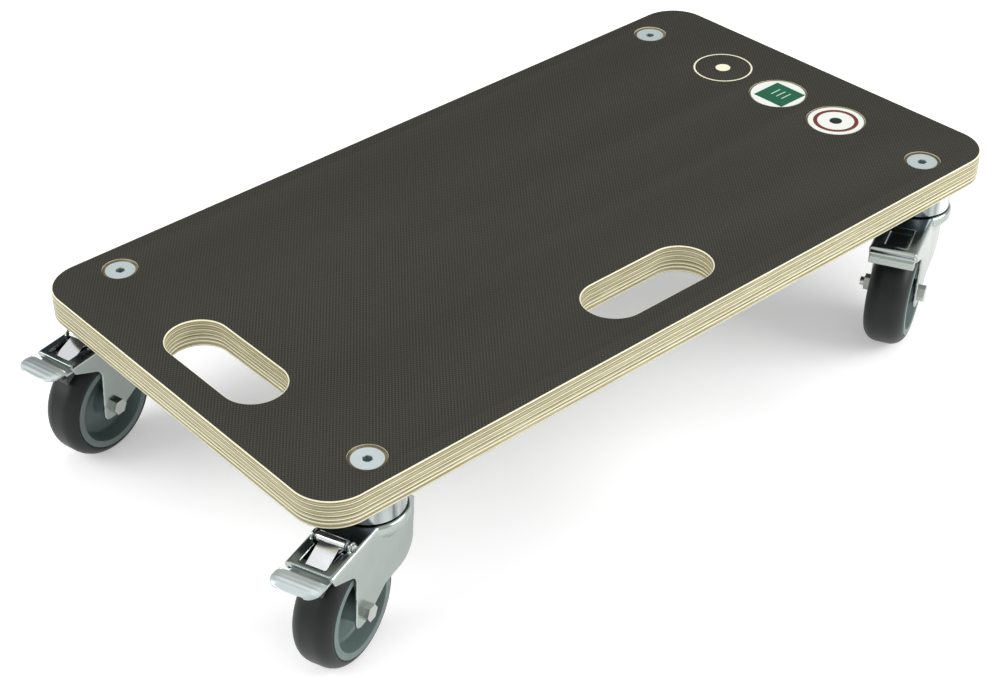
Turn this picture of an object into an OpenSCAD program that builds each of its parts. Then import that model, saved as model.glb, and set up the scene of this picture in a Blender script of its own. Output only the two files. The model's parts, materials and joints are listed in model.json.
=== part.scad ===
// Transport dolly: a film-faced plywood deck with two hand holes on four swivel casters.
// The origin is the centre of the deck's top face, X runs along the deck and Z is up.
// A caster is drawn in its own frame: its swivel axis is Z, the deck's underside is z = 0
// and its wheel trails towards +X. Braked casters carry a pedal over the wheel.

/* [Deck] */
// Length of the deck
deck_l = 600; // [480:10:900]
// Width of the deck
deck_w = 313.5; // [260:0.5:600]
// Thickness of the plywood between its two films
ply_t = 19.5; // [15:0.5:27]
// Thickness of each phenolic film
film_t = 0.5; // [0.4:0.05:1]
// Radius of the deck's corners
corner_r = 28.4; // [10:0.1:40]

/* [Hand holes] */
// Length of a hand hole
hand_l = 102.4; // [90:0.2:130]
// Width of a hand hole
hand_w = 42; // [30:0.5:50]
// Distance from the short end to the middle of the end hand hole
hand_end_inset = 44; // [40:0.5:70]
// Distance from the long side to the middle of the side hand hole
hand_side_inset = 45; // [40:0.5:70]

/* [Labels] */
// Diameter of a round label
label_d = 39.8; // [30:0.2:44]
// Thickness of a label
label_t = 0.5; // [0.2:0.1:0.8]
// Distance from the short end to the middle of the labels
label_inset = 51.5; // [40:0.5:80]
// Distance between the two labels' middles
label_pitch = 55; // [48:1:60]
// Depth of the pocket that a label lies in
pocket_depth = 1.2; // [1:0.1:2]

/* [Caster fixing] */
// Distance from the short end to a caster bolt
bolt_end_inset = 51.4; // [45:0.2:80]
// Distance from the long side to a caster bolt
bolt_side_inset = 24.5; // [22:0.5:60]
// Diameter of the countersunk bolt that holds a caster
bolt_d = 10; // [8:0.5:12]
// Diameter of the bolt's countersunk head
bolt_head_d = 20.6; // [18:0.2:24]
// Diameter of the round recess around the bolt's head
recess_d = 24.3; // [22:0.1:30]
// Depth of the bolt's head below the deck's top
recess_depth = 1.3; // [1:0.1:3]

/* [Swivel head] */
// Diameter of the fixed cap under the deck
cap_d = 45; // [40:0.5:56]
// Diameter of the fork's round head
head_d = 49; // [46:0.5:60]
// Diameter of the hollow kingpin
kingpin_d = 16; // [14:0.5:18]
// Distance from the deck's underside to the fork's top
crown_drop = 13.5; // [12:0.5:18]
// Diameter of the balls above the fork
upper_ball_d = 6; // [5:0.2:7]
// Diameter of the balls below the fork
lower_ball_d = 4.4; // [4:0.2:5]

/* [Fork] */
// Thickness of the fork's sheet steel
sheet = 2; // [1.5:0.1:3]
// Outer radius of the bends in the fork
bend_r = 3; // [3:0.25:4]
// Distance from the swivel axis back to the wheel's axle
trail = 35; // [30:0.5:42]
// Distance from the swivel axis to the fork's nose over the wheel
nose_x = 68; // [66:0.5:80]
// Gap between the tyre and the lock nut above it
nut_gap = 3; // [2:0.25:6]
// Gap between the tyre and each fork leg
side_gap = 0.9; // [0.8:0.05:3]

/* [Wheel] */
// Diameter of the wheel
wheel_d = 80; // [66:1:100]
// Width of the tyre
tyre_w = 27.6; // [24:0.2:34]
// Depth of the tyre's tread over the rim
tread_t = 8; // [7:0.5:10]
// Diameter of the axle bolt
axle_d = 6; // [6:0.5:8]

/* [Brake pedal] */
// Travel of the pedal, in degrees
pedal_travel = 9; // [6:0.5:12]
// Width of the pedal's tread
pedal_w = 33.6; // [28:0.2:36]
// Length of the pedal's tread beyond the fork's nose
pedal_reach = 19.4; // [15:0.2:26]
// Diameter of the pedal's hinge pin
hinge_d = 4; // [3:0.25:4.5]

/* [Resting direction of the wheels] */
// Direction that the front left wheel trails in, in degrees
trail_fl = 200.4; // [0:0.1:360]
// Direction that the back left wheel trails in, in degrees
trail_bl = 193.4; // [0:0.1:360]
// Direction that the front right wheel trails in, in degrees
trail_fr = 206; // [0:0.1:360]
// Direction that the back right wheel trails in, in degrees
trail_br = 198; // [0:0.1:360]

/* [Hidden] */
$fn = 64;
eps = 0.01;
big = 200;

// Clearances: a running gap, the gap between faces that pass each other, and a fixed fit.
// Cuts run past what they cut by over.
run_gap = 0.08;
pass_gap = 0.3;
fit_gap = 0.05;
over = 1;

// Deck
deck_t = ply_t + 2 * film_t;
hand_travel = hand_l - hand_w;
end_hand = [-deck_l / 2 + hand_end_inset, 0];
side_hand = [0, -deck_w / 2 + hand_side_inset];
label_x = deck_l / 2 - label_inset;
load_label_at = [label_x, 0];
notice_label_at = [label_x, -label_pitch];
emblem_at = [label_x, label_pitch];
emblem_r = 22;
emblem_line = 1.4;
pocket_d = label_d + 2.2;
bolt_r = bolt_d / 2;
bolt_hole_r = bolt_r + 0.3;
socket_af = 6;
socket_depth = 4.5;

// Casters: name, side along X, side along Y, resting direction and brake
CASTERS = [
    ["fl", -1, -1, trail_fl, true],
    ["bl", -1, 1, trail_bl, true],
    ["fr", 1, -1, trail_fr, false],
    ["br", 1, 1, trail_br, false]
];

// Swivel head, downwards from the deck's underside
cap_r = cap_d / 2;
cap_wall = 2.2;
cap_round = 2.5;
kingpin_r = kingpin_d / 2;
crown_z = -crown_drop;
crown_low = crown_z - sheet;
cap_skirt_z = crown_z + 1.2;
upper_ball_z = crown_z + pass_gap + upper_ball_d / 2;
upper_race_z = upper_ball_z + upper_ball_d / 2 + pass_gap;
upper_ball_pitch = kingpin_r + upper_ball_d;
upper_balls = floor(180 / asin((upper_ball_d + 0.2) / 2 / upper_ball_pitch));
lower_ball_z = crown_low - pass_gap - lower_ball_d / 2;
lower_ball_pitch = kingpin_r + lower_ball_d;
lower_balls = floor(180 / asin((lower_ball_d + 0.2) / 2 / lower_ball_pitch));
lower_race_top = lower_ball_z - lower_ball_d / 2 - pass_gap;
lower_race_t = 2.5;
lower_race_r = lower_ball_pitch + lower_ball_d;
washer_t = 1.6;
washer_r = bolt_d;
washer_z = lower_race_top - lower_race_t - washer_t;
lock_nut_af = 1.6 * bolt_d;
lock_nut_h = 0.6 * bolt_d;
lock_nut_z = washer_z - lock_nut_h;
lock_nut_r = lock_nut_af / 2 / cos(30);
bolt_tip_z = lock_nut_z - 2;

// Wheel: the axle hangs so that the tyre clears the lock nut by nut_gap
wheel_r = wheel_d / 2;
axle_z = lock_nut_z - sqrt(pow(wheel_r + nut_gap, 2) - pow(trail - lock_nut_r, 2));
axle = [trail, axle_z];
tyre_half = tyre_w / 2;
tread_flat = 4;
shoulder_drop = 6.5;
shoulder_run = tyre_half - tread_flat;
shoulder_r = (shoulder_run * shoulder_run + shoulder_drop * shoulder_drop) / 2 / shoulder_drop;
rim_r = wheel_r - tread_t;
rim_half = tyre_half - 0.3;
rim_lip = 4.5;
rim_draft = 2.5;
web_half = 3;
axle_r = axle_d / 2;
sleeve_r = axle_r + 2;
hub_r = sleeve_r + 3.6;
hub_draft = 1;

// Fork
leg_in = tyre_half + side_gap;
leg_out = leg_in + sheet;
hub_half = leg_in - 0.45;
head_r = head_d / 2;
head_hole_r = kingpin_r + pass_gap;
skirt_z = crown_z - 6.5;
bulge_z = crown_z - 17.5;
bulge_lip = 0.4;
front_x = 24.5;
front_top_x = 16;
front_top_z = crown_z - 7;
lobe_back = 22;
lobe_r = 16;
lobe_low = axle_z + 3.5;
lobe = [lobe_r - lobe_back, lobe_low + lobe_r];
foot_r = 5;
foot_back = [trail + 6, axle_z - 3.3];
foot_front = [trail - 5, axle_z - 3.3];
leg_front = [trail - 23, lobe_low];
notch_r = 8;
notch = [trail + 8.3 + notch_r, axle_z + 28];
nose_low = [nose_x - 2.5, crown_z - 8];
nose_side_z = crown_z - 2.5;
lip_z = crown_z - 4;
plain_lip_z = crown_z - 12;
plain_lip_top = crown_z - 3;
plain_lip_x = nose_x + 3.2;
plain_lip_half = leg_out - 1.2;

// Axle bolt and nut
hex_af = 1.667 * axle_d;
hex_r = hex_af / 2 / cos(30);
axle_head_h = 0.7 * axle_d;
axle_nut_h = 0.85 * axle_d;
axle_tip = 3;

// Brake: the lever hinges on a pin above the fork's window
hinge = [41, crown_z + 1];
hinge_r = hinge_d / 2;
roll_r = hinge_r + run_gap + 1.5;
roll_half = 9.2;
lug_t = 1.8;
lug_in = 11.6;
lug_out = lug_in + lug_t;
lug_r = roll_r + 0.2;
pin_half = lug_out + 0.6;
coil_wire = 0.9;
coil_r = hinge_r + 0.25 + coil_wire / 2;
coil_y = roll_half + pass_gap + coil_wire / 2;
coil_leg = 7;
coil_leg_d = coil_wire - 0.1;
coil_leg_turn = 70;
window_half = 8.8;
window_back = hinge[0] + 5;
window_roll = lug_in - 0.2;
window_x = [hinge[0] - roll_r - 0.6, nose_x - 4];
strap_t = 1.5;
strap_half = 7;
strap_rise = 0.2;
weld_z = lip_z - 1.9;
strap_foot = [nose_x - 8, nose_x - 3.6];
lever_t = 1.8;
lever_half = min(13, leg_in - 1.3);
lever_x = [nose_x - 12, nose_x + 1.5];
tread_x = [nose_x + 6.5, nose_x + pedal_reach];
tread_z = [crown_z - 1, crown_z + 0.5];
pedal_corner = 6;
neck_x = tread_x[0] - 1.5;
pad_x = [nose_x - 11, nose_x - 1];
pad_half = 8;
pad_gap = 0.35;
roller_r = 3.2;
roller_at = [nose_x - 0.5, weld_z - lever_t - roller_r - fit_gap];
roller_w = 7;

// Panel pressed into a plain fork, where a braked fork has its window
panel_x = [hinge[0] + 3, nose_x - 5];
panel_half = 7.5;
panel_depth = 0.8;

// Angle, seen from c, at which the tangent from point p touches the circle of radius r around c
function tangent_angle(p, c, r) =
    atan2(p[1] - c[1], p[0] - c[0]) + acos(r / norm(p - c));
function on_circle(c, r, a) = c + r * [cos(a), sin(a)];
// Point p turned by a degrees about point c, from X towards -Z
function swung(p, c, a) = c + [
    (p[0] - c[0]) * cos(a) + (p[1] - c[1]) * sin(a),
    -(p[0] - c[0]) * sin(a) + (p[1] - c[1]) * cos(a)
];

CASTER_NODES = ["head_cap", "kingpin", "lower_race", "swivel_balls", "fork",
    "axle_bolt", "axle_nut", "axle_sleeve", "rim", "tyre"];
BRAKE_NODES = ["pedal", "lock_tongue", "brake_pad", "pedal_pin", "pedal_spring"];

// Helpers

// Puts a caster's part in its place under the deck
module at_caster(c) {
    translate([
        c[1] * (deck_l / 2 - bolt_end_inset),
        c[2] * (deck_w / 2 - bolt_side_inset),
        -deck_t
    ])
        rotate([0, 0, c[3]])
            children();
}

// Stands a flat outline up in the XZ plane, w wide along Y
module along_y(w) {
    rotate([90, 0, 0])
        linear_extrude(w, center = true)
            children();
}

// A round rod along Y
module rod_y(at, r, y0, y1) {
    translate([at[0], y1, at[1]])
        rotate([90, 0, 0])
            cylinder(r = r, h = y1 - y0);
}

// A hexagonal bar along Y
module hexagon_y(at, r, y0, y1) {
    translate([at[0], y1, at[1]])
        rotate([90, 0, 0])
            cylinder(r = r, h = y1 - y0, $fn = 6);
}

// A flat bar with round ends from p to q
module bar(p, q, r) {
    side = r * [p[1] - q[1], q[0] - p[0]] / norm(q - p);
    translate(p)
        circle(r);
    translate(q)
        circle(r);
    polygon([p + side, q + side, q - side, p - side]);
}

// A rectangle with round corners, centred
module round_plate(size, r) {
    square([size[0] - 2 * r, size[1]], center = true);
    square([size[0], size[1] - 2 * r], center = true);
    for (x = [-1, 1])
        for (y = [-1, 1])
            translate([x * (size[0] / 2 - r), y * (size[1] / 2 - r)])
                circle(r);
}

// Deck

module hand_holes() {
    translate(end_hand)
        bar([0, -hand_travel / 2], [0, hand_travel / 2], hand_w / 2);
    translate(side_hand)
        bar([-hand_travel / 2, 0], [hand_travel / 2, 0], hand_w / 2);
}

module at_bolts() {
    for (c = CASTERS)
        translate([
            c[1] * (deck_l / 2 - bolt_end_inset),
            c[2] * (deck_w / 2 - bolt_side_inset),
            0
        ])
            children();
}

module at_labels() {
    for (at = [load_label_at, notice_label_at])
        translate(at)
            children();
}

module deck_outline() {
    difference() {
        round_plate([deck_l, deck_w], corner_r);
        hand_holes();
    }
}

module deck_core() {
    color("burlywood")
        difference() {
            translate([0, 0, -film_t - ply_t])
                linear_extrude(ply_t)
                    deck_outline();
            at_bolts() {
                translate([0, 0, -deck_t])
                    cylinder(r = bolt_hole_r, h = deck_t);
                translate([0, 0, -recess_depth])
                    cylinder(d = recess_d, h = recess_depth);
                translate([0, 0, -recess_depth - bolt_head_d / 2])
                    cylinder(r1 = 0, r2 = bolt_head_d / 2 + fit_gap, h = bolt_head_d / 2 + fit_gap);
            }
            at_labels()
                translate([0, 0, -pocket_depth])
                    cylinder(d = pocket_d, h = pocket_depth);
        }
}

// A plain ring around a dot, cut through the film as a generic mark
module emblem() {
    difference() {
        circle(emblem_r);
        circle(emblem_r - emblem_line);
    }
    circle(emblem_r / 4);
}

module top_film() {
    color([0.25, 0.24, 0.22])
        translate([0, 0, -film_t])
            linear_extrude(film_t)
                difference() {
                    deck_outline();
                    at_bolts()
                        circle(d = recess_d);
                    at_labels()
                        circle(d = pocket_d);
                    translate(emblem_at)
                        emblem();
                }
}

module bottom_film() {
    color([0.25, 0.24, 0.22])
        translate([0, 0, -deck_t])
            linear_extrude(film_t)
                difference() {
                    deck_outline();
                    at_bolts()
                        circle(bolt_hole_r);
                }
}

module label() {
    translate([0, 0, -pocket_depth])
        cylinder(d = label_d, h = label_t);
}

module load_label() {
    color("seagreen")
        translate(load_label_at)
            label();
}

module notice_label() {
    color("firebrick")
        translate(notice_label_at)
            label();
}

module deck_bolts() {
    color("lightsteelblue")
        at_bolts()
            difference() {
                union() {
                    translate([0, 0, -recess_depth - bolt_head_d / 2 + bolt_r])
                        cylinder(r1 = bolt_r, r2 = bolt_head_d / 2, h = bolt_head_d / 2 - bolt_r);
                    translate([0, 0, bolt_tip_z - deck_t])
                        cylinder(r = bolt_r, h = deck_t - bolt_tip_z - recess_depth - socket_depth);
                }
                translate([0, 0, -recess_depth - socket_depth])
                    cylinder(r = socket_af / 2 / cos(30), h = socket_depth + eps, $fn = 6);
            }
}

module deck_washers() {
    color("silver")
        at_bolts()
            translate([0, 0, washer_z - deck_t])
                difference() {
                    cylinder(r = washer_r, h = washer_t);
                    translate([0, 0, -eps])
                        cylinder(r = bolt_hole_r, h = washer_t + 2 * eps);
                }
}

module deck_lock_nuts() {
    color("silver")
        at_bolts()
            translate([0, 0, lock_nut_z - deck_t])
                difference() {
                    cylinder(r = lock_nut_r, h = lock_nut_h, $fn = 6);
                    translate([0, 0, -eps])
                        cylinder(r = bolt_r + fit_gap, h = lock_nut_h + 2 * eps);
                }
}

// Swivel head

module cap_section() {
    difference() {
        union() {
            translate([0, cap_skirt_z])
                square([cap_r, -cap_skirt_z - cap_round]);
            translate([0, -cap_round])
                square([cap_r - cap_round, cap_round]);
            translate([cap_r - cap_round, -cap_round])
                circle(cap_round);
        }
        translate([0, cap_skirt_z - big])
            square([cap_r - cap_wall, big + upper_race_z - cap_skirt_z]);
        translate([0, -big])
            square([kingpin_r + fit_gap, 2 * big]);
    }
}

module head_cap() {
    color("gainsboro")
        rotate_extrude()
            cap_section();
}

module kingpin() {
    color("silver")
        translate([0, 0, lower_race_top])
            difference() {
                cylinder(r = kingpin_r, h = -lower_race_top);
                translate([0, 0, -eps])
                    cylinder(r = bolt_r + fit_gap, h = 2 * eps - lower_race_top);
            }
}

module lower_race() {
    color("silver")
        translate([0, 0, lower_race_top - lower_race_t])
            difference() {
                cylinder(r = lower_race_r, h = lower_race_t);
                translate([0, 0, -eps])
                    cylinder(r = bolt_r + fit_gap, h = lower_race_t + 2 * eps);
            }
}

module ball_row(n, pitch, d, z) {
    for (i = [0:n - 1])
        rotate([0, 0, i * 360 / n])
            translate([pitch, 0, z])
                sphere(d = d);
}

module swivel_balls() {
    color("gray") {
        ball_row(upper_balls, upper_ball_pitch, upper_ball_d, upper_ball_z);
        ball_row(lower_balls, lower_ball_pitch, lower_ball_d, lower_ball_z);
    }
}

// Fork

// Side view of the fork
module fork_outline() {
    turn = on_circle(notch, notch_r, tangent_angle(nose_low, notch, notch_r));
    difference() {
        union() {
            polygon([
                [-front_top_x, crown_z],
                [nose_x, crown_z],
                [nose_x, nose_side_z],
                nose_low,
                turn,
                notch,
                [notch[0] - notch_r, notch[1]],
                foot_back + [foot_r, 0],
                foot_front - [foot_r, 0],
                leg_front,
                [lobe[0], lobe_low],
                lobe,
                [-lobe_back, lobe[1]],
                [-front_x, front_top_z]
            ]);
            translate(lobe)
                circle(lobe_r);
            bar(foot_front, foot_back, foot_r);
        }
        translate(notch)
            circle(notch_r);
    }
}

// End view of the fork's channel, inset by g from its outer faces
module channel_section(g) {
    half = leg_out - g;
    r = bend_r - g;
    translate([-half, -big])
        square([2 * half, big + crown_z - bend_r]);
    translate([-leg_out + bend_r, -big])
        square([2 * (leg_out - bend_r), big + crown_z - g]);
    for (s = [-1, 1])
        translate([s * (leg_out - bend_r), crown_z - bend_r])
            circle(r);
}

module channel(g) {
    rotate([90, 0, 90])
        linear_extrude(big, center = true)
            channel_section(g);
}

// Section of the fork's round head, inset by g from its outer faces
module head_section(g) {
    flat = head_r - bend_r;
    taper = [leg_out + bulge_lip, bulge_z];
    translate([0, skirt_z])
        square([flat, crown_z - g - skirt_z]);
    translate([0, skirt_z])
        square([head_r - g, crown_z - bend_r - skirt_z]);
    translate([flat, crown_z - bend_r])
        circle(bend_r - g);
    polygon([
        [0, skirt_z],
        [head_r - g, skirt_z],
        taper - [g, 0],
        [0, bulge_z]
    ]);
}

module head_shell() {
    difference() {
        rotate_extrude()
            difference() {
                head_section(0);
                head_section(sheet);
            }
        translate([-big, -leg_in, -big])
            cube([big + over, 2 * leg_in, big + skirt_z]);
        translate([0, -leg_in, -big])
            cube([big, 2 * leg_in, big + crown_low]);
    }
}

module channel_shell(lip) {
    difference() {
        intersection() {
            channel(0);
            along_y(2 * big)
                fork_outline();
        }
        difference() {
            channel(sheet);
            translate([nose_x - sheet, -big, lip])
                cube([big, 2 * big, big]);
        }
        rotate_extrude()
            head_section(sheet);
    }
}

module fork_window() {
    translate([window_x[0], -window_roll, crown_low - eps])
        cube([window_back - window_x[0], 2 * window_roll, sheet + 2 * eps]);
    translate([window_back - eps, -window_half, crown_low - eps])
        cube([window_x[1] - window_back + eps, 2 * window_half, sheet + 2 * eps]);
}

module hinge_lugs() {
    for (s = [-1, 1])
        translate([0, s * (lug_in + lug_t / 2), 0]) {
            rod_y(hinge, lug_r, -lug_t / 2, lug_t / 2);
            translate([hinge[0] - lug_r, -lug_t / 2, crown_low])
                cube([2 * lug_r, lug_t, hinge[1] - crown_low]);
        }
}

module plain_lip() {
    translate([nose_x - sheet, -plain_lip_half, plain_lip_z])
        cube([sheet + plain_lip_x - nose_x, 2 * plain_lip_half, plain_lip_top - plain_lip_z]);
}

module pressed_panel() {
    translate([panel_x[0], -panel_half, crown_z - panel_depth])
        cube([panel_x[1] - panel_x[0], 2 * panel_half, panel_depth + over]);
}

module fork(braked) {
    color("silver")
        difference() {
            union() {
                channel_shell(braked ? lip_z : plain_lip_z);
                head_shell();
                if (braked)
                    hinge_lugs();
                else
                    plain_lip();
            }
            translate([0, 0, crown_low - over])
                cylinder(r = head_hole_r, h = sheet + 2 * over);
            rod_y(axle, axle_r + fit_gap, -leg_out - over, leg_out + over);
            if (braked) {
                fork_window();
                rod_y(hinge, hinge_r + fit_gap, -lug_out - over, lug_out + over);
            } else {
                pressed_panel();
            }
        }
}

// Wheel and axle

module axle_bolt() {
    color("silver") {
        rod_y(axle, axle_r, -leg_out - axle_nut_h - axle_tip, leg_out + over);
        hexagon_y(axle, hex_r, leg_out, leg_out + axle_head_h);
    }
}

module axle_nut() {
    color("silver")
        difference() {
            hexagon_y(axle, hex_r, -leg_out - axle_nut_h, -leg_out);
            rod_y(axle, axle_r + fit_gap, -leg_out - axle_nut_h - over, 0);
        }
}

module axle_sleeve() {
    color("silver")
        difference() {
            rod_y(axle, sleeve_r, -leg_in, leg_in);
            rod_y(axle, axle_r + fit_gap, -leg_in - over, leg_in + over);
        }
}

// Turns a section about the axle: X is the radius and Y is the width
module around_axle() {
    translate([axle[0], 0, axle[1]])
        rotate([90, 0, 0])
            rotate_extrude()
                children();
}

module rim() {
    lip_in = rim_r - rim_lip;
    bore = sleeve_r + run_gap;
    color([0.36, 0.41, 0.4])
        around_axle()
            polygon([
                [bore, -hub_half],
                [hub_r, -hub_half],
                [hub_r + hub_draft, -web_half],
                [lip_in - rim_draft, -web_half],
                [lip_in, -rim_half],
                [rim_r, -rim_half],
                [rim_r, rim_half],
                [lip_in, rim_half],
                [lip_in - rim_draft, web_half],
                [hub_r + hub_draft, web_half],
                [hub_r, hub_half],
                [bore, hub_half]
            ]);
}

module tyre() {
    inner = rim_r + fit_gap;
    color([0.2, 0.2, 0.2])
        around_axle()
            intersection() {
                union() {
                    translate([0, -tread_flat])
                        square([wheel_r, 2 * tread_flat]);
                    for (s = [-1, 1])
                        translate([wheel_r - shoulder_r, s * tread_flat])
                            circle(shoulder_r);
                }
                translate([inner, -tyre_half])
                    square([wheel_r, 2 * tyre_half]);
            }
}

// Brake

// Side view of the pedal's plate, from under the nose out to the tread
module pedal_outline() {
    top = [
        [lever_x[0], weld_z],
        [lever_x[1], weld_z],
        [tread_x[0], tread_z[0]],
        [tread_x[1], tread_z[1]]
    ];
    polygon(concat(top, [for (i = [3:-1:0]) top[i] - [0, lever_t]]));
}

module pedal_plan() {
    end = tread_x[1];
    translate([0, -lever_half])
        square([neck_x + over, 2 * lever_half]);
    translate([neck_x, -pedal_w / 2])
        square([end - pedal_corner - neck_x, pedal_w]);
    translate([neck_x, -pedal_w / 2 + pedal_corner])
        square([end - neck_x, pedal_w - 2 * pedal_corner]);
    for (s = [-1, 1])
        translate([end - pedal_corner, s * (pedal_w / 2 - pedal_corner)])
            circle(pedal_corner);
}

module pedal() {
    color("lightsteelblue") {
        intersection() {
            along_y(2 * pedal_w)
                pedal_outline();
            translate([0, 0, -big])
                linear_extrude(2 * big)
                    pedal_plan();
        }
    }
}

module lock_tongue() {
    half_t = strap_t / 2;
    start = hinge + [roll_r - half_t, strap_rise];
    foot_z = weld_z + half_t;
    color("white")
        difference() {
            union() {
                rod_y(hinge, roll_r, -roll_half, roll_half);
                along_y(2 * strap_half) {
                    bar(start, [strap_foot[0], foot_z], half_t);
                    translate([strap_foot[0], weld_z])
                        square([strap_foot[1] - strap_foot[0], strap_t]);
                }
            }
            rod_y(hinge, hinge_r + run_gap, -big, big);
        }
}

// The pad's face fits the tyre when the pedal is pressed right down
module brake_pad() {
    lifted = swung(axle, hinge, -pedal_travel);
    top = weld_z - lever_t;
    color([0.15, 0.15, 0.16]) {
        difference() {
            translate([pad_x[0], -pad_half, axle_z])
                cube([pad_x[1] - pad_x[0], 2 * pad_half, top - axle_z]);
            rod_y(lifted, wheel_r + pad_gap, -big, big);
        }
        rod_y(roller_at, roller_r, 0, roller_w);
    }
}

module pedal_pin() {
    color("silver")
        rod_y(hinge, hinge_r, -pin_half, pin_half);
}

module pedal_spring() {
    color("gray") {
        translate([hinge[0], coil_y, hinge[1]])
            rotate([90, 0, 0])
                rotate_extrude()
                    translate([coil_r, 0])
                        circle(coil_wire / 2);
        translate([hinge[0] + coil_r, coil_y, hinge[1]])
            rotate([0, coil_leg_turn, 0])
                cylinder(d = coil_leg_d, h = coil_leg);
    }
}

// Nodes

deck_core();
top_film();
bottom_film();
load_label();
notice_label();
deck_bolts();
deck_washers();
deck_lock_nuts();
for (c = CASTERS) {
    at_caster(c) head_cap();
    at_caster(c) kingpin();
    at_caster(c) lower_race();
    at_caster(c) swivel_balls();
    at_caster(c) fork(c[4]);
    at_caster(c) axle_bolt();
    at_caster(c) axle_nut();
    at_caster(c) axle_sleeve();
    at_caster(c) rim();
    at_caster(c) tyre();
}
for (c = CASTERS) if (c[4]) {
    at_caster(c) pedal();
    at_caster(c) lock_tongue();
    at_caster(c) brake_pad();
    at_caster(c) pedal_pin();
    at_caster(c) pedal_spring();
}
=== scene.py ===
"""Looks of the platform dolly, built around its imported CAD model. A number times MM is in millimetres."""

import json
import math

import bmesh
import bpy
from mathutils import Matrix, Vector


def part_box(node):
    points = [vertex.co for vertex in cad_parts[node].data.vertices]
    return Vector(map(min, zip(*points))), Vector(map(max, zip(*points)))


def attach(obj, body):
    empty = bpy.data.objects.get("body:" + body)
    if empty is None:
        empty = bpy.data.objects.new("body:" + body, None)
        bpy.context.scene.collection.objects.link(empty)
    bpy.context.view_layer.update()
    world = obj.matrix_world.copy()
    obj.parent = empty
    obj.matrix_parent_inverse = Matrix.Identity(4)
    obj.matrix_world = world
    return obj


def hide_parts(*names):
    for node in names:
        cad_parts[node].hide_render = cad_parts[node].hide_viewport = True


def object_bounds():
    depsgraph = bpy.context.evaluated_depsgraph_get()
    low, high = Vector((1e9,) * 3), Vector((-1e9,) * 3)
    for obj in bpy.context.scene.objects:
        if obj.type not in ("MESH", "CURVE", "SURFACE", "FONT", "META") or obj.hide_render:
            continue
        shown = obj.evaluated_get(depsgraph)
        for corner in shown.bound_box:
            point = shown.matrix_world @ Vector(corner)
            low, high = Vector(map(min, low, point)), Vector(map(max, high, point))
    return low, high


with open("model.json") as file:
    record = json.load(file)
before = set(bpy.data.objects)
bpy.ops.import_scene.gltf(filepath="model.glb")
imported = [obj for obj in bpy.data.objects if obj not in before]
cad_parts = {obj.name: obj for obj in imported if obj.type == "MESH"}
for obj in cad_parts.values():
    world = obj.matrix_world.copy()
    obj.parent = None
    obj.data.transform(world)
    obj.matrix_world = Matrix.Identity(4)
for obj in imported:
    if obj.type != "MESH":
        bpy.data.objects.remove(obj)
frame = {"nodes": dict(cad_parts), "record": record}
cad_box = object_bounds()

MM = 0.001
RECORD = frame["record"]
JOINTS = {joint["name"]: joint for joint in RECORD["behaviour"]["joints"]}
CASTERS = ("fl", "bl", "fr", "br")
BRAKED = ("fl", "bl")

# Camera: where it stands, which way it looks and where its right is, in metres and world directions
CAMERA_AT = Vector((-0.7763, -0.8336, 0.7138))
CAMERA_AIM = Vector((0.4681, 0.6517, -0.5968))
CAMERA_RIGHT = Vector((0.7893, -0.6120, -0.0492))
CAMERA_LENS = 70.2
CAMERA_SHIFT = (0.1713, 0.0333)


def make_camera():
    back = -CAMERA_AIM.normalized()
    right = (CAMERA_RIGHT - back * CAMERA_RIGHT.dot(back)).normalized()
    up = back.cross(right)
    data = bpy.data.cameras.new("camera")
    data.sensor_width = 36
    data.lens = CAMERA_LENS
    data.shift_x, data.shift_y = CAMERA_SHIFT
    camera = bpy.data.objects.new("camera", data)
    turn = Matrix((right, up, back)).transposed().to_4x4()
    camera.matrix_world = Matrix.Translation(CAMERA_AT) @ turn
    bpy.context.scene.collection.objects.link(camera)
    bpy.context.scene.camera = camera


make_camera()


# Materials


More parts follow.
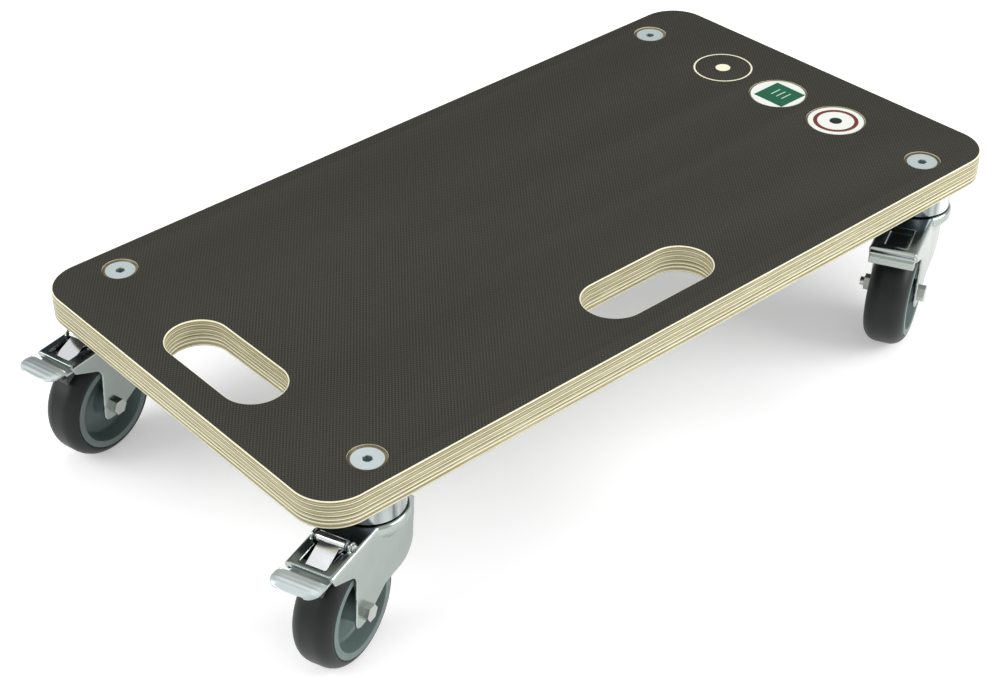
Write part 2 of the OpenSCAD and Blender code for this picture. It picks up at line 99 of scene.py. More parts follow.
class Nodes:
    """Builds one material's node tree in a few words."""

    def __init__(self, name):
        self.material = bpy.data.materials.new(name)
        self.material.use_nodes = True
        self.tree = self.material.node_tree
        self.shader = self.tree.nodes["Principled BSDF"]
        self.place = self.add("ShaderNodeTexCoord").outputs["Object"]

    def add(self, kind, **settings):
        node = self.tree.nodes.new(kind)
        for key, value in settings.items():
            setattr(node, key, value)
        return node

    def put(self, socket, value):
        if isinstance(value, bpy.types.NodeSocket):
            self.tree.links.new(value, socket)
        else:
            socket.default_value = value

    def set(self, **values):
        for key, value in values.items():
            self.put(self.shader.inputs[key.replace("_", " ")], value)

    def math(self, operation, *values, clamp=False):
        node = self.add("ShaderNodeMath", operation=operation, use_clamp=clamp)
        for socket, value in zip(node.inputs, values):
            self.put(socket, value)
        return node.outputs[0]

    def scaled(self, size):
        node = self.add("ShaderNodeMapping")
        self.put(node.inputs["Vector"], self.place)
        node.inputs["Scale"].default_value = size
        return node.outputs[0]

    def noise(self, scale, detail=2.0, vector=None, roughness=0.5):
        node = self.add("ShaderNodeTexNoise")
        self.put(node.inputs["Vector"], self.place if vector is None else vector)
        node.inputs["Scale"].default_value = scale
        node.inputs["Detail"].default_value = detail
        node.inputs["Roughness"].default_value = roughness
        return node.outputs["Fac"]

    def ramp(self, value, stops, constant=False):
        node = self.add("ShaderNodeValToRGB")
        self.put(node.inputs["Fac"], value)
        if constant:
            node.color_ramp.interpolation = "CONSTANT"
        elements = node.color_ramp.elements
        while len(elements) < len(stops):
            elements.new(1.0)
        for element, (at, colour) in zip(elements, stops):
            element.position = at
            element.color = (*colour, 1)
        return node.outputs["Color"]

    def mix(self, factor, a, b):
        node = self.add("ShaderNodeMix", data_type="RGBA")
        self.put(node.inputs["Factor"], factor)
        self.put(node.inputs[6], a)
        self.put(node.inputs[7], b)
        return node.outputs[2]

    def bump(self, height, depth):
        node = self.add("ShaderNodeBump")
        node.inputs["Distance"].default_value = depth
        self.put(node.inputs["Height"], height)
        self.put(self.shader.inputs["Normal"], node.outputs["Normal"])

    def xyz(self):
        node = self.add("ShaderNodeSeparateXYZ")
        self.put(node.inputs[0], self.place)
        return node.outputs


def shade(colour, factor):
    return (*(channel * factor for channel in colour[:3]), 1)


# The film's imprint repeats at this pitch, in two directions across each other
FILM_PITCH = 2.5 * MM


def phenolic_film():
    m = Nodes("phenolic_film")
    x, y, _ = m.xyz()
    wave = 2 * math.pi / FILM_PITCH
    along = m.math("SINE", m.math("MULTIPLY", x, wave))
    across = m.math("SINE", m.math("MULTIPLY", y, wave * 0.8))
    worn = m.math("MULTIPLY_ADD", m.noise(220, 3), 1.6, 0.2)
    mesh = m.math("MULTIPLY", m.math("MULTIPLY", along, across), worn)
    cloud = m.noise(7, 5)
    speck = m.noise(1500, 3)
    tone = m.mix(cloud, (0.020, 0.0195, 0.0150, 1), (0.032, 0.031, 0.0245, 1))
    dot = m.math("MULTIPLY_ADD", mesh, 0.55, 0.35, clamp=True)
    tone = m.mix(dot, tone, (0.072, 0.070, 0.058, 1))
    tone = m.mix(m.math("MULTIPLY", speck, 0.3), tone, (0.008, 0.007, 0.006, 1))
    roughness = m.math("MULTIPLY_ADD", speck, 0.2, 0.5)
    m.set(Base_Color=tone, Roughness=roughness, Specular_IOR_Level=0.22)
    m.bump(m.math("ADD", mesh, speck), 0.12 * MM)
    return m.material


# Plies of the deck from the underside up: where each starts, as a share of the deck's thickness
PALE = (0.42, 0.38, 0.22)
TAN = (0.28, 0.25, 0.13)
BROWN = (0.10, 0.08, 0.035)
CREAM = (0.86, 0.82, 0.60)
OLIVE = (0.215, 0.20, 0.10)
PLIES = [
    (0.0, TAN), (0.05, CREAM), (0.075, TAN), (0.13, BROWN), (0.155, PALE), (0.20, CREAM),
    (0.235, OLIVE), (0.29, BROWN), (0.32, CREAM), (0.35, PALE), (0.40, OLIVE), (0.44, BROWN),
    (0.465, CREAM), (0.495, TAN), (0.56, PALE), (0.595, BROWN), (0.62, CREAM), (0.65, OLIVE),
    (0.71, PALE), (0.75, TAN), (0.79, BROWN), (0.815, CREAM), (0.84, OLIVE), (0.89, PALE),
    # The brown ply from 0.922 lies at the depth of the bolt recesses' floors: a dark ply on the deck's
    # edges, and painted shade on those floors
    (0.922, BROWN), (0.943, TAN), (0.965, CREAM),
]


def plywood():
    m = Nodes("plywood")
    _, _, z = m.xyz()
    low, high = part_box("bottom_film")[0].z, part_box("top_film")[1].z
    fibre = m.noise(1, 5, m.scaled((35, 35, 1100)), 0.6)
    drift = m.noise(1, 2, m.scaled((9, 9, 40)))
    pore = m.noise(1400, 3)
    level = m.math("MULTIPLY_ADD", z, 1 / (high - low), -low / (high - low))
    level = m.math("ADD", level, m.math("MULTIPLY_ADD", drift, 0.03, -0.015))
    tone = m.ramp(level, PLIES, constant=True)
    tone = m.mix(m.math("MULTIPLY_ADD", fibre, 2.0, -0.95, clamp=True), tone, shade(CREAM, 0.8))
    tone = m.mix(m.math("MULTIPLY_ADD", pore, 1.2, -0.62, clamp=True), tone, shade(BROWN, 1.0))
    m.set(Base_Color=tone, Roughness=0.58)
    m.bump(fibre, 0.25 * MM)
    return m.material


def metal(name, colour, roughness, dull=0.82, metallic=1.0):
    m = Nodes(name)
    cloud = m.noise(45, 4)
    fine = m.noise(900, 3)
    m.set(
        Base_Color=m.mix(cloud, colour, shade(colour, dull)),
        Metallic=metallic,
        Roughness=m.math("MULTIPLY_ADD", fine, 0.14, roughness - 0.07),
    )
    m.bump(cloud, 0.03 * MM)
    return m.material


def fork_zinc(colour, roughness):
    """Satin zinc, gently waved by the press, with a painted reflection of the deck's dark underside: darker
    and bluer on the level faces on top.
    """
    m = Nodes("fork_zinc")
    cloud = m.noise(45, 4)
    split = m.add("ShaderNodeSeparateXYZ")
    m.put(split.inputs[0], m.add("ShaderNodeNewGeometry").outputs["Normal"])
    # painted reflection: faces turned up go dark and bluish, standing in for the deck's dark underside
    # mirrored in them
    level = m.math("MULTIPLY_ADD", split.outputs[2], 5.0, -4.0, clamp=True)
    tone = m.mix(cloud, colour, shade(colour, 0.8))
    tone = m.mix(level, tone, (0.20, 0.24, 0.27, 1))
    satin = m.math("MULTIPLY_ADD", cloud, 0.14, roughness - 0.07)
    m.set(Base_Color=tone, Metallic=1.0, Roughness=satin)
    m.bump(cloud, 0.2 * MM)
    return m.material


# Depth under the deck bolts' top below which their colour turns to painted shade
SOCKET_RIM = 0.6 * MM


def bolt_zinc(colour, dark):
    """Dull bluish zinc with painted shade: darker below a fine rim under the deck bolts' top, as down in
    the hex sockets.
    """
    m = Nodes("bolt_zinc")
    _, _, z = m.xyz()
    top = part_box("deck_bolts")[1].z
    cloud = m.noise(160, 4)
    # painted shade: all lower than SOCKET_RIM under the deck bolts' top takes the dark colour, for the
    # shade down in the hex sockets
    painted_shade_below_rim = m.math("LESS_THAN", z, top - SOCKET_RIM)
    m.set(
        Base_Color=m.mix(painted_shade_below_rim, m.mix(cloud, colour, shade(colour, 0.8)), dark),
        Metallic=0.5,
        Roughness=m.math("MULTIPLY_ADD", cloud, 0.2, 0.32),
    )
    m.bump(cloud, 0.03 * MM)
    return m.material


def cap_zinc_painted_reflections():
    """Bright zinc with painted reflections: dark and bright streaks that run up and down the pressed cap,
    standing in for the deck's dark underside mirrored in it and for highlights.
    """
    m = Nodes("cap_zinc_painted_reflections")
    painted_reflection_streak = m.noise(1, 3, m.scaled((70, 70, 6)))
    # painted reflections: the dark stop stands in for the deck's underside mirrored in the cap, the bright
    # stop for a painted highlight
    stops = [(0.40, (0.16, 0.18, 0.18)), (0.52, (0.45, 0.49, 0.48)), (0.62, (0.86, 0.9, 0.9))]
    tone = m.ramp(painted_reflection_streak, stops)
    m.set(Base_Color=tone, Metallic=1.0, Roughness=m.math("MULTIPLY_ADD", painted_reflection_streak, 0.1, 0.16))
    m.bump(painted_reflection_streak, 0.05 * MM)
    return m.material


def plastic(name, colour, roughness, worn=1.35, gloss=0.5):
    m = Nodes(name)
    cloud = m.noise(30, 4)
    fine = m.noise(1300, 3)
    m.set(
        Base_Color=m.mix(cloud, shade(colour, 0.85), shade(colour, worn)),
        Roughness=m.math("MULTIPLY_ADD", fine, 0.2, roughness - 0.1),
        Specular_IOR_Level=gloss,
    )
    m.bump(fine, 0.06 * MM)
    return m.material


LABEL_WHITE = (0.80, 0.83, 0.78, 1)
GREEN = (0.018, 0.115, 0.06, 1)
PALE_GREEN = (0.5, 0.6, 0.52, 1)
DARK_RED = (0.17, 0.04, 0.03, 1)
NEAR_BLACK = (0.02, 0.03, 0.025, 1)
GREEN_HALF = (13 * MM, 13.5 * MM)
GREEN_DROP = 1.5 * MM
BAR_HALF = (5 * MM, 0.5 * MM)
BAR_SHIFT = 1.5 * MM
BAR_PITCH = 5 * MM
RING_R = 14.6 * MM
RING_HALF = 1.5 * MM
DOT_R = 4.5 * MM


def label_paper(name, marked):
    """A white printed disc. marked(nodes, x, y) gives the printed colour and where it lies."""
    m = Nodes(name)
    x, y, _ = m.xyz()
    tone = m.mix(m.noise(220, 3), LABEL_WHITE, shade(LABEL_WHITE, 0.93))
    for colour, inside in marked(m, x, y):
        tone = m.mix(inside, tone, colour)
    m.set(Base_Color=tone, Roughness=0.35)
    m.bump(m.noise(500, 2), 0.02 * MM)
    return m.material


def within(m, value, middle, half):
    """1 where value lies within half of middle."""
    return m.math("COMPARE", value, middle, half)


def disc_centre(node):
    low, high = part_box(node)
    return (low + high) / 2


def green_panel(m, x, y):
    """A plain green rectangle with three fine white bars across it."""
    centre = disc_centre("load_label")
    middle = centre.y - GREEN_DROP
    panel = m.math("MULTIPLY", within(m, x, centre.x, GREEN_HALF[0]), within(m, y, middle, GREEN_HALF[1]))
    marks = [(GREEN, panel)]
    for step in (-1, 0, 1):
        bar = m.math(
            "MULTIPLY",
            within(m, x, centre.x + BAR_SHIFT, BAR_HALF[0]),
            within(m, y, middle + step * BAR_PITCH, BAR_HALF[1]),
        )
        marks.append((PALE_GREEN, bar))
    return marks


def red_ring(m, x, y):
    """A plain dark red ring round a near-black dot."""
    centre = disc_centre("notice_label")
    across = m.math("SUBTRACT", x, centre.x)
    up = m.math("SUBTRACT", y, centre.y)
    radius = m.math("SQRT", m.math("ADD", m.math("POWER", across, 2.0), m.math("POWER", up, 2.0)))
    return [(DARK_RED, within(m, radius, RING_R, RING_HALF)), (NEAR_BLACK, within(m, radius, 0, DOT_R))]


LOOKS = {
    "plywood": plywood(),
    "phenolic_film": phenolic_film(),
    "green_label": label_paper("green_label", green_panel),
    "red_label": label_paper("red_label", red_ring),
    # bolt_zinc's second colour is the painted shade in the bolts' hex sockets
    "bolt_zinc": bolt_zinc((0.74, 0.83, 0.84, 1), (0.24, 0.33, 0.34, 1)),
    "zinc": metal("zinc", (0.62, 0.64, 0.60, 1), 0.30, 0.6),
    "bright_zinc": metal("bright_zinc", (0.90, 0.92, 0.93, 1), 0.15, 0.94),
    "fork_zinc": fork_zinc((0.42, 0.47, 0.44, 1), 0.24),
    "ball_steel": metal("ball_steel", (0.6, 0.6, 0.62, 1), 0.12),
    "spring_steel": metal("spring_steel", (0.35, 0.35, 0.36, 1), 0.3),
    "rim_plastic": plastic("rim_plastic", (0.100, 0.142, 0.134, 1), 0.45, 1.15),
    "tyre_rubber": plastic("tyre_rubber", (0.0115, 0.0135, 0.0128, 1), 0.42, 1.25, 0.25),
    "pad_rubber": plastic("pad_rubber", (0.03, 0.03, 0.03, 1), 0.55),
}
# The caps' zinc, with painted reflection streaks
CAP_LOOK = cap_zinc_painted_reflections()
PEDAL_LOOK = metal("pedal_zinc", (0.51, 0.57, 0.57, 1), 0.40, 0.93, 0.65)
SLOT_OF = {part["node"]: part["material_slot"] for part in RECORD["subparts"]}


def look_of(node):
    """A node's finish: its slot's, or a variant of it for the caps and the pedals."""
    if node.endswith("_head_cap"):
        return CAP_LOOK
    if node.endswith("_pedal"):
        return PEDAL_LOOK
    return LOOKS[SLOT_OF[node]]


# Mesh helpers


def body_of_node(node):
    return next(name for name, nodes in RECORD["behaviour"]["bodies"].items() if node in nodes)


def add_piece(name, mesh, node, sharp):
    """A new piece that stands for node, on the same body and with the same finish."""
    mesh.materials.clear()
    mesh.materials.append(look_of(node))
    mesh.shade_smooth()
    mesh.set_sharp_from_angle(angle=math.radians(sharp))
    piece = bpy.data.objects.new(name, mesh)
    bpy.context.scene.collection.objects.link(piece)
    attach(piece, body_of_node(node))
    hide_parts(node)
    return piece


WELD = 0.002 * MM


def finished(bm, name):
    bmesh.ops.remove_doubles(bm, verts=bm.verts, dist=WELD)
    bmesh.ops.recalc_face_normals(bm, faces=bm.faces)
    mesh = bpy.data.meshes.new(name)
    bm.to_mesh(mesh)
    bm.free()
    return mesh


def revolve(bm, profile, place, steps):
    """Adds a closed ring: profile is (radius, height) points round a loop, turned about Z of place."""
    rings = []
    for i in range(steps):
        a = 2 * math.pi * i / steps
        c, s = math.cos(a), math.sin(a)
        rings.append([bm.verts.new(place @ Vector((r * c, r * s, h))) for r, h in profile])
    for i in range(steps):
        here, there = rings[i], rings[(i + 1) % steps]
        for j in range(len(profile)):
            k = (j + 1) % len(profile)
            bm.faces.new((here[j], there[j], there[k], here[k]))


ROUND_STEPS = 5


def rounded(points, radii):
    """A closed outline with its corners rounded: one radius for each point."""
    out = []
    count = len(points)
    for i, corner in enumerate(points):
        corner = Vector(corner)
        radius = radii[i]
        before, after = Vector(points[i - 1]), Vector(points[(i + 1) % count])
        u, v = (before - corner).normalized(), (after - corner).normalized()
        half = math.acos(max(-1, min(1, u.dot(v)))) / 2
        reach = radius / math.tan(half)
        centre = corner + (u + v).normalized() * radius / math.sin(half)
        start, end = corner + u * reach - centre, corner + v * reach - centre
        turn = math.atan2(start.x * end.y - start.y * end.x, start.dot(end))
        for j in range(ROUND_STEPS + 1):
            a = turn * j / ROUND_STEPS
            c, s = math.cos(a), math.sin(a)
            out.append((centre.x + start.x * c - start.y * s, centre.y + start.x * s + start.y * c))
    return out


def arc(centre, radius, start, end, steps):
    """Points of an arc, in degrees."""
    points = []
    for i in range(steps + 1):
        a = math.radians(start + (end - start) * i / steps)
        points.append((centre[0] + radius * math.cos(a), centre[1] + radius * math.sin(a)))
    return points


def plate(name, loops, z, thickness, rounding):
    """A flat plate with a round-over on every edge. loops are the outline and the holes, in metres."""
    data = bpy.data.curves.new(name, "CURVE")
    data.dimensions = "2D"
    data.fill_mode = "BOTH"
    data.extrude = thickness / 2 - rounding
    data.bevel_depth = rounding
    data.bevel_resolution = 3
    data.offset = -rounding
    for loop in loops:
        spline = data.splines.new("POLY")
        spline.points.add(len(loop) - 1)
        for point, (x, y) in zip(spline.points, loop):
            point.co = (x, y, 0, 1)
        spline.use_cyclic_u = True
    holder = bpy.data.objects.new(name, data)
    bpy.context.scene.collection.objects.link(holder)
    bpy.context.view_layer.update()
    evaluated = holder.evaluated_get(bpy.context.evaluated_depsgraph_get())
    mesh = bpy.data.meshes.new_from_object(evaluated)
    bpy.data.objects.remove(holder)
    bpy.data.curves.remove(data)
    bm = bmesh.new()
    bm.from_mesh(mesh)
    bpy.data.meshes.remove(mesh)
    for vert in bm.verts:
        vert.co.z += z - thickness / 2
    return bm


# Deck

LOW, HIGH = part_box("deck_core")
DECK_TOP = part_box("top_film")[1].z
DECK_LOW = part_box("bottom_film")[0].z
FILM = DECK_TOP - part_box("top_film")[0].z
EDGE_ROUND = 1.2 * MM
FILM_INSET = 0.9 * MM
CORNER_R = 28.4 * MM
HAND_L = 102.4 * MM
HAND_W = 42 * MM
END_HAND_INSET = 44 * MM
SIDE_HAND_INSET = 45 * MM
RECESS_R = 12.15 * MM
RECESS_DEPTH = 1.3 * MM
HEAD_R = 10.35 * MM
BOLT_R = 5.3 * MM
POCKET_R = 21 * MM
POCKET_DEPTH = 1.2 * MM
POCKET_EYE = 0.5 * MM
EMBLEM_R = 22 * MM
EMBLEM_LINE = 1.1 * MM
SEAM = 0.02 * MM
LAP = 0.4 * MM
CUT_GAP = 0.2 * MM
FILM_ROUND = 0.12 * MM
ARC_STEPS = 24
HOLE_STEPS = 64


def stadium(centre, length, width, along_y, grow=0.0):
    r = width / 2 + grow
    half = (length - width) / 2
    ends = arc((half, 0), r, -90, 90, ARC_STEPS) + arc((-half, 0), r, 90, 270, ARC_STEPS)
    if along_y:
        ends = [(-y, x) for x, y in ends]
    return [(centre[0] + x, centre[1] + y) for x, y in ends]


def round_hole(centre, radius):
    return arc(centre, radius, 0, 360 * (1 - 1 / HOLE_STEPS), HOLE_STEPS - 1)


def deck_outline(inset):
    r = CORNER_R - inset
    x, y = HIGH.x - CORNER_R, HIGH.y - CORNER_R
    return (
        arc((x, -y), r, -90, 0, ARC_STEPS)
        + arc((x, y), r, 0, 90, ARC_STEPS)
        + arc((-x, y), r, 90, 180, ARC_STEPS)
        + arc((-x, -y), r, 180, 270, ARC_STEPS)
    )


def hand_holes(grow):
    return [
        stadium((LOW.x + END_HAND_INSET, 0), HAND_L, HAND_W, True, grow),
        stadium((0, LOW.y + SIDE_HAND_INSET), HAND_L, HAND_W, False, grow),
    ]


def bolt_places():
    return [Vector(JOINTS[c + "_swivel_turn"]["pos_m"]) for c in CASTERS]


def label_places():
    return [disc_centre("load_label"), disc_centre("notice_label")]


def emblem_place():
    load, notice = label_places()
    return load * 2 - notice


def make_core():
    holes = [round_hole(p, RECESS_R) for p in bolt_places()]
    holes += [round_hole(p, POCKET_R) for p in label_places()]
    loops = [deck_outline(0)] + hand_holes(0) + holes
    thickness = DECK_TOP - DECK_LOW - 2 * SEAM
    bm = plate("deck_core_piece", loops, DECK_TOP - SEAM, thickness, EDGE_ROUND)
    low, top = DECK_LOW + FILM, DECK_TOP
    wall = RECESS_R + LAP
    for place in bolt_places():
        seat = [
            (wall, low),
            (wall, top - EDGE_ROUND - RECESS_DEPTH),
            (RECESS_R, top - RECESS_DEPTH),
            (HEAD_R, top - RECESS_DEPTH),
            (BOLT_R, top - RECESS_DEPTH - (HEAD_R - BOLT_R)),
            (BOLT_R, low),
        ]
        revolve(bm, seat, Matrix.Translation((place.x, place.y, 0)), HOLE_STEPS)
    wall = POCKET_R + LAP
    for place in label_places():
        pocket_floor = [
            (wall, low),
            (wall, top - POCKET_DEPTH),
            (POCKET_EYE, top - POCKET_DEPTH),
            (POCKET_EYE, low),
        ]
        revolve(bm, pocket_floor, Matrix.Translation((place.x, place.y, 0)), HOLE_STEPS)
    add_piece("deck_core_piece", finished(bm, "deck_core_piece"), "deck_core", sharp=30)


def film_sheet(name, top, cuts):
    loops = [deck_outline(FILM_INSET)] + hand_holes(FILM_INSET) + cuts
    return plate(name, loops, top, FILM, FILM_ROUND)


def make_top_film():
    """The top film, cut open by the recesses, the pockets and a fine ring with a dot in it."""
    centre = emblem_place()
    cuts = [round_hole(p, RECESS_R + CUT_GAP) for p in bolt_places()]
    cuts += [round_hole(p, POCKET_R + CUT_GAP) for p in label_places()]
    cuts += [round_hole(centre, EMBLEM_R)]
    bm = film_sheet("top_film_piece", DECK_TOP, cuts)
    inner = [round_hole(centre, EMBLEM_R - EMBLEM_LINE), round_hole(centre, EMBLEM_R / 4)]
    disc = finished(plate("emblem_disc", inner, DECK_TOP, FILM, FILM_ROUND), "emblem_disc")
    bm.from_mesh(disc)
    bpy.data.meshes.remove(disc)
    add_piece("top_film_piece", finished(bm, "top_film_piece"), "top_film", sharp=30)


def make_bottom_film():
    holes = [round_hole(p, BOLT_R) for p in bolt_places()]
    bm = film_sheet("bottom_film_piece", DECK_LOW + FILM, holes)
    add_piece("bottom_film_piece", finished(bm, "bottom_film_piece"), "bottom_film", sharp=30)


make_core()
make_top_film()
make_bottom_film()


# CAD nodes that stay: their finish, and the width in millimetres of softened edges where they show

SOFT_EDGES = {
    "deck_bolts": 0.25,
    "deck_lock_nuts": 0.3,
    "axle_bolt": 0.35,
    "axle_nut": 0.3,
    "lock_tongue": 0.4,
    "brake_pad": 0.4,
    "pedal_pin": 0.3,
}


def soften(piece, width):
    flat = piece.modifiers.new("flat", "DECIMATE")
    flat.decimate_type = "DISSOLVE"
    flat.angle_limit = math.radians(2)
    bevel = piece.modifiers.new("edge", "BEVEL")
    bevel.width = width * MM
    bevel.segments = 2
    bevel.limit_method = "ANGLE"
    bevel.angle_limit = math.radians(32)
    bevel.use_clamp_overlap = False


def dress_cad_nodes():
    for node, slot in SLOT_OF.items():
        piece = frame["nodes"][node]
        piece.data.materials.clear()
        piece.data.materials.append(look_of(node))
        family = node if node in SOFT_EDGES else node[3:]
        if family in SOFT_EDGES:
            soften(piece, SOFT_EDGES[family])


dress_cad_nodes()


# Casters


def caster_place(c):
    """Matrix from a caster's own frame, in metres, to the world: its wheel trails towards +X."""
    axle = Vector(JOINTS[c + "_wheel_spin"]["axis"])
    turn = math.atan2(-axle.x, axle.y)
    return Matrix.Translation(Vector(JOINTS[c + "_swivel_turn"]["pos_m"])) @ Matrix.Rotation(turn, 4, "Z")


def own_box(c, node):
    """Lowest and highest corner of a caster's node in the caster's own frame."""
    back = caster_place(c).inverted()
    points = [back @ v.co for v in frame["nodes"][f"{c}_{node}"].data.vertices]
    return (
        Vector((min(p[i] for p in points) for i in range(3))),
        Vector((max(p[i] for p in points) for i in range(3))),
    )


PEDAL_THICK = 1.8 * MM
PEDAL_CORNER = 7.5 * MM
PEDAL_EDGE = 0.45 * MM
PEDAL_STEPS = (72, 40)
TREAD_LENGTH = 13.5 * MM
RAMP_LENGTH = 4.5 * MM
NECK_HALF = 13 * MM
WIDEN_BEFORE = 2.5 * MM
WIDEN_OVER = 3.5 * MM
TREAD_SINK = 0.5 * MM
TREAD_CROWN = 0.6 * MM
RIM_DROP = 1.3 * MM
SIDE_DROP = 1.25 * MM
RIB_RISE = 0.1 * MM
RIB_COUNT = 4


def eased(t):
    """A smooth step from 0 to 1 as t goes from 0 to 1."""
    t = max(0.0, min(1.0, t))
    return t * t * (3 - 2 * t)


def pedal_half_width(x, high):
    """Half the pedal's width at x: a neck that widens to the tread, whose corners are round."""
    start = high.x - TREAD_LENGTH
    neck = min(high.y, NECK_HALF)
    half = neck + (high.y - neck) * eased((x - start + WIDEN_BEFORE) / WIDEN_OVER)
    past = x - (high.x - PEDAL_CORNER)
    if past > 0:
        half -= PEDAL_CORNER - math.sqrt(max(0.0, PEDAL_CORNER**2 - past**2))
    return half


def pedal_height(x, side, low, high):
    """Height of the pedal's top: a flat plate, then a ramp to a ribbed tread with its rim turned down."""
    start = high.x - TREAD_LENGTH
    plate_top = low.z + PEDAL_THICK
    height = plate_top + (high.z - plate_top - TREAD_SINK) * eased((x - start) / RAMP_LENGTH + 1)
    if x <= start:
        return height
    along = (x - start) / TREAD_LENGTH
    crown = TREAD_CROWN * math.sin(math.pi * min(1.0, along * 1.1))
    crown -= RIM_DROP * along**4 + SIDE_DROP * abs(side) ** 7
    fade = (1 - abs(side) ** 6) * min(1.0, along * 2)
    return height + crown + RIB_RISE * math.cos(2 * math.pi * along * RIB_COUNT) * fade


def pedal_sheet(c):
    """The pedal's upper face as a grid, finer towards the tread's outer edge."""
    low, high = own_box(c, "pedal")
    place = caster_place(c)
    rows, columns = PEDAL_STEPS
    bm = bmesh.new()
    grid = []
    for i in range(rows + 1):
        x = low.x + (high.x - low.x) * (1 - (1 - i / rows) ** 1.3)
        half = pedal_half_width(x, high)
        row = []
        for j in range(columns + 1):
            side = 2 * j / columns - 1
            at = Vector((x, side * half, pedal_height(x, side, low, high)))
            row.append(bm.verts.new(place @ at))
        grid.append(row)
    for i in range(rows):
        for j in range(columns):
            bm.faces.new((grid[i][j], grid[i + 1][j], grid[i + 1][j + 1], grid[i][j + 1]))
    return bm


def make_pedal(c):
    bm = pedal_sheet(c)
    bmesh.ops.recalc_face_normals(bm, faces=bm.faces)
    if sum(face.normal.z for face in bm.faces) < 0:
        bmesh.ops.reverse_faces(bm, faces=bm.faces)
    mesh = bpy.data.meshes.new(c + "_pedal_piece")
    bm.to_mesh(mesh)
    bm.free()
    piece = add_piece(c + "_pedal_piece", mesh, c + "_pedal", sharp=60)
    thick = piece.modifiers.new("thick", "SOLIDIFY")
    thick.thickness = PEDAL_THICK
    thick.offset = -1
    edge = piece.modifiers.new("edge", "BEVEL")
    edge.width = PEDAL_EDGE
    edge.segments = 3
    edge.limit_method = "ANGLE"
    edge.angle_limit = math.radians(50)


for braked in BRAKED:
    make_pedal(braked)


# Wheels

RIM_LIP = 4.5 * MM
RIM_DRAFT = 2.5 * MM
WEB_HALF = 3 * MM
HUB_R = 8.6 * MM
HUB_DRAFT = 1 * MM
HUB_HALF = 14.25 * MM
BORE_R = 5.3 * MM
RIM_ROUNDS = (0.2 * MM, 0.8 * MM, 2.5 * MM, 3 * MM, 0.6 * MM, 0.3 * MM)
TREAD_FLAT = 4 * MM
SHOULDER_DROP = 6.5 * MM
TYRE_GAP = 0.1 * MM
TYRE_CHAMFER = 0.4 * MM
RIM_STEPS = 128
TYRE_STEPS = 160
SHOULDER_STEPS = 12


def axle_place(c, node):
    low, high = own_box(c, node)
    return caster_place(c) @ Matrix.Translation((low + high) / 2) @ Matrix.Rotation(math.pi / 2, 4, "X")


def mirrored(half_profile):
    """A closed wheel profile from its (radius, height) points on the side with height over 0."""
    return half_profile + [(r, -h) for r, h in reversed(half_profile)]


def half_sizes(c, node):
    """Half the width and the outer radius of a wheel's node."""
    low, high = own_box(c, node)
    return (high.y - low.y) / 2, (high.z - low.z) / 2


def make_rim(c):
    rim_half, rim_r = half_sizes(c, "rim")
    lip = rim_r - RIM_LIP
    half_profile = [
        (BORE_R, HUB_HALF),
        (HUB_R, HUB_HALF),
        (HUB_R + HUB_DRAFT, WEB_HALF),
        (lip - RIM_DRAFT, WEB_HALF),
        (lip, rim_half),
        (rim_r, rim_half),
    ]
    profile = rounded(mirrored(half_profile), RIM_ROUNDS + RIM_ROUNDS[::-1])
    bm = bmesh.new()
    revolve(bm, profile, axle_place(c, "rim"), RIM_STEPS)
    add_piece(c + "_rim_piece", finished(bm, c + "_rim_piece"), c + "_rim", sharp=50)


def make_tyre(c):
    half, outer = half_sizes(c, "tyre")
    inner = half_sizes(c, "rim")[1] + TYRE_GAP
    run = half - TREAD_FLAT
    bulge = (run**2 + SHOULDER_DROP**2) / 2 / SHOULDER_DROP
    start = math.degrees(math.asin(run / bulge))
    foot = [(inner, half - TYRE_CHAMFER), (inner + TYRE_CHAMFER, half)]
    shoulder = arc((outer - bulge, TREAD_FLAT), bulge, start, 0, SHOULDER_STEPS)
    bm = bmesh.new()
    revolve(bm, mirrored(foot + shoulder), axle_place(c, "tyre"), TYRE_STEPS)
    add_piece(c + "_tyre_piece", finished(bm, c + "_tyre_piece"), c + "_tyre", sharp=60)


for caster in CASTERS:
    make_rim(caster)
    make_tyre(caster)


# Forks. A groove and a bead cross the plain ones' noses: their heights, and how far each stands out

FORK_VOXEL = 0.55 * MM
BEAD_Z = (-17.6 * MM, -20.6 * MM)
BEAD_DEPTH = (-0.75 * MM, 0.35 * MM)
BEAD_WIDTH = 1.1 * MM
NOSE_BOW = 2.4 * MM
NOSE_RAMP = 9 * MM
PANEL_MIDDLE = 51 * MM
PANEL_HALF = (12 * MM, 7.8 * MM)
RIDGE_RISE = 0.55 * MM
RIDGE_WIDTH = 0.9 * MM


def panel_edge(at):
    """How far a point of the fork's top lies from the outline of the panel pressed into it."""
    past_x = abs(at.x - PANEL_MIDDLE) - PANEL_HALF[0]
    past_y = abs(at.y) - PANEL_HALF[1]
    if past_x > 0 and past_y > 0:
        return math.hypot(past_x, past_y)
    return abs(max(past_x, past_y))


def press_nose(c, mesh):
    """The plain fork's pressing: a groove and a bead across its bowed nose, and a ridged panel on top."""
    place = caster_place(c)
    back = place.inverted()
    forward = place.to_3x3() @ Vector((1, 0, 0))
    high = own_box(c, "fork")[1]
    bow_start = high.x - NOSE_RAMP
    shift = []
    for vert in mesh.vertices:
        at = back @ vert.co
        facing = max(0.0, vert.normal.dot(forward))
        press = sum(d * math.exp(-(((at.z - z) / BEAD_WIDTH) ** 2)) for z, d in zip(BEAD_Z, BEAD_DEPTH))
        ridge = RIDGE_RISE * math.exp(-((panel_edge(at) / RIDGE_WIDTH) ** 2))
        reach = max(0.0, min(1.0, (at.x - bow_start) / NOSE_RAMP))
        bow = NOSE_BOW * (abs(at.y) / high.y) ** 6 * reach
        lift = ridge * max(0.0, vert.normal.z)
        shift.append(forward * (press * facing - bow) + Vector((0, 0, lift)))
    for vert, step in zip(mesh.vertices, shift):
        vert.co += step


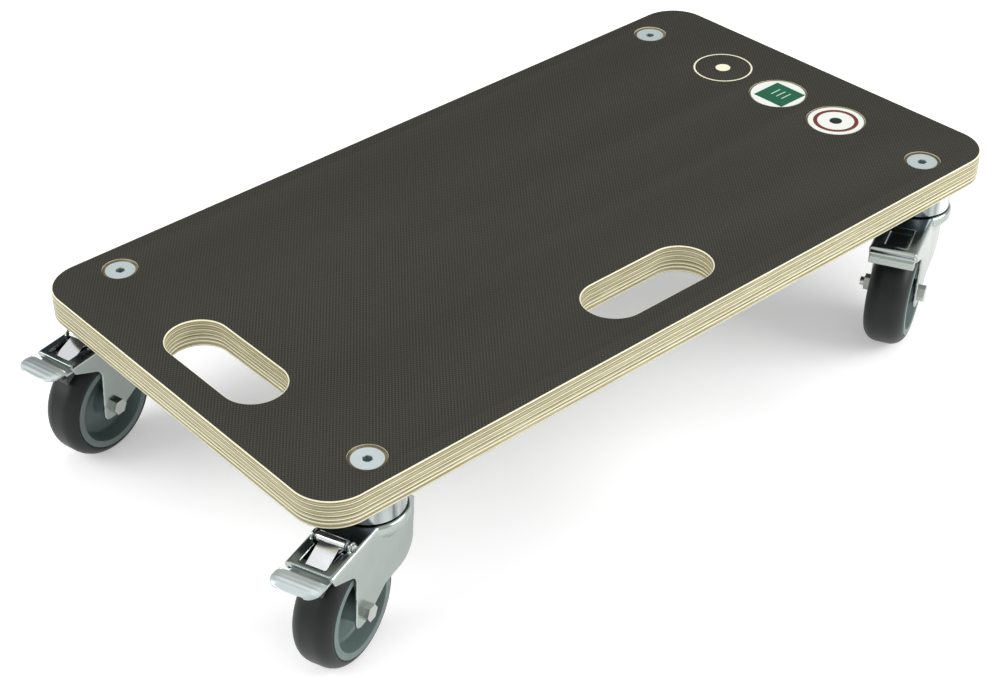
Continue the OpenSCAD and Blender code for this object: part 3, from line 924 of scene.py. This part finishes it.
def pressed_copy(c):
    """The fork as pressed sheet: the CAD shape with its edges and folds softened."""
    node = c + "_fork"
    source = frame["nodes"][node]
    holder = bpy.data.objects.new(node + "_pressed", source.data.copy())
    bpy.context.scene.collection.objects.link(holder)
    remesh = holder.modifiers.new("remesh", "REMESH")
    remesh.mode = "VOXEL"
    remesh.voxel_size = FORK_VOXEL
    smooth = holder.modifiers.new("smooth", "CORRECTIVE_SMOOTH")
    smooth.factor = 0.5
    smooth.iterations = 6
    smooth.use_only_smooth = True
    bpy.context.view_layer.update()
    evaluated = holder.evaluated_get(bpy.context.evaluated_depsgraph_get())
    mesh = bpy.data.meshes.new_from_object(evaluated)
    bpy.data.objects.remove(holder)
    if c not in BRAKED:
        press_nose(c, mesh)
    return mesh


def make_forks():
    for c in CASTERS:
        add_piece(c + "_fork_piece", pressed_copy(c), c + "_fork", sharp=60)


make_forks()


# Stage


def area_light(name, at, towards, size, power):
    data = bpy.data.lights.new(name, "AREA")
    data.shape = "RECTANGLE"
    data.size, data.size_y = size
    data.energy = power
    light = bpy.data.objects.new(name, data)
    light.location = at
    light.rotation_mode = "QUATERNION"
    light.rotation_quaternion = (Vector(towards) - Vector(at)).to_track_quat("-Z", "Y")
    bpy.context.scene.collection.objects.link(light)


FLOOR_HALF = 20.0
ROOM_STRENGTH = 0.75
ROOM_WHITE = (1, 1, 1, 1)
ROOM_DIM = (0.06, 0.07, 0.08, 1)
DIM_TOWARDS = (0.60, 0.75, 0.28)
DIM_STARTS, DIM_FULL = 0.72, 0.9


def light_room(tree):
    """A plain white room, with a dim patch low behind the dolly that only its reflections show."""
    back = tree.nodes["Background"]
    back.inputs["Strength"].default_value = ROOM_STRENGTH
    where = tree.nodes.new("ShaderNodeTexCoord")
    facing = tree.nodes.new("ShaderNodeVectorMath")
    facing.operation = "DOT_PRODUCT"
    facing.inputs[1].default_value = DIM_TOWARDS
    ramp = tree.nodes.new("ShaderNodeValToRGB")
    stops = [(DIM_STARTS, ROOM_WHITE), (DIM_FULL, ROOM_DIM)]
    for element, (at, colour) in zip(ramp.color_ramp.elements, stops):
        element.position = at
        element.color = colour
    tree.links.new(where.outputs["Generated"], facing.inputs[0])
    tree.links.new(facing.outputs["Value"], ramp.inputs["Fac"])
    seen = tree.nodes.new("ShaderNodeLightPath")
    plain = tree.nodes.new("ShaderNodeMix")
    plain.data_type = "RGBA"
    plain.inputs[7].default_value = ROOM_WHITE
    tree.links.new(seen.outputs["Is Camera Ray"], plain.inputs["Factor"])
    tree.links.new(ramp.outputs["Color"], plain.inputs[6])
    tree.links.new(plain.outputs[2], back.inputs["Color"])


def make_stage():
    mesh = bpy.data.meshes.new("floor")
    corners = [(-1, -1), (1, -1), (1, 1), (-1, 1)]
    points = [(x * FLOOR_HALF, y * FLOOR_HALF, cad_box[0].z) for x, y in corners]
    mesh.from_pydata(points, [], [(0, 1, 2, 3)])
    floor = bpy.data.objects.new("floor", mesh)
    m = Nodes("floor")
    m.set(Base_Color=(0.86, 0.86, 0.86, 1), Roughness=0.9)
    m.set(Emission_Color=ROOM_WHITE, Emission_Strength=0.36)
    mesh.materials.append(m.material)
    bpy.context.scene.collection.objects.link(floor)
    world = bpy.data.worlds.new("studio")
    world.use_nodes = True
    light_room(world.node_tree)
    bpy.context.scene.world = world
    area_light("right_box", (1.1, -1.5, 0.9), (0, 0, -0.05), (1.4, 1.0), 26)
    area_light("left_box", (-1.6, 0.8, 1.0), (0, 0, -0.05), (1.2, 1.0), 16)
    area_light("top_box", (0.2, 0.4, 1.9), (0, 0, 0), (1.6, 1.2), 8)
    bpy.context.scene.view_settings.view_transform = "Standard"


make_stage()
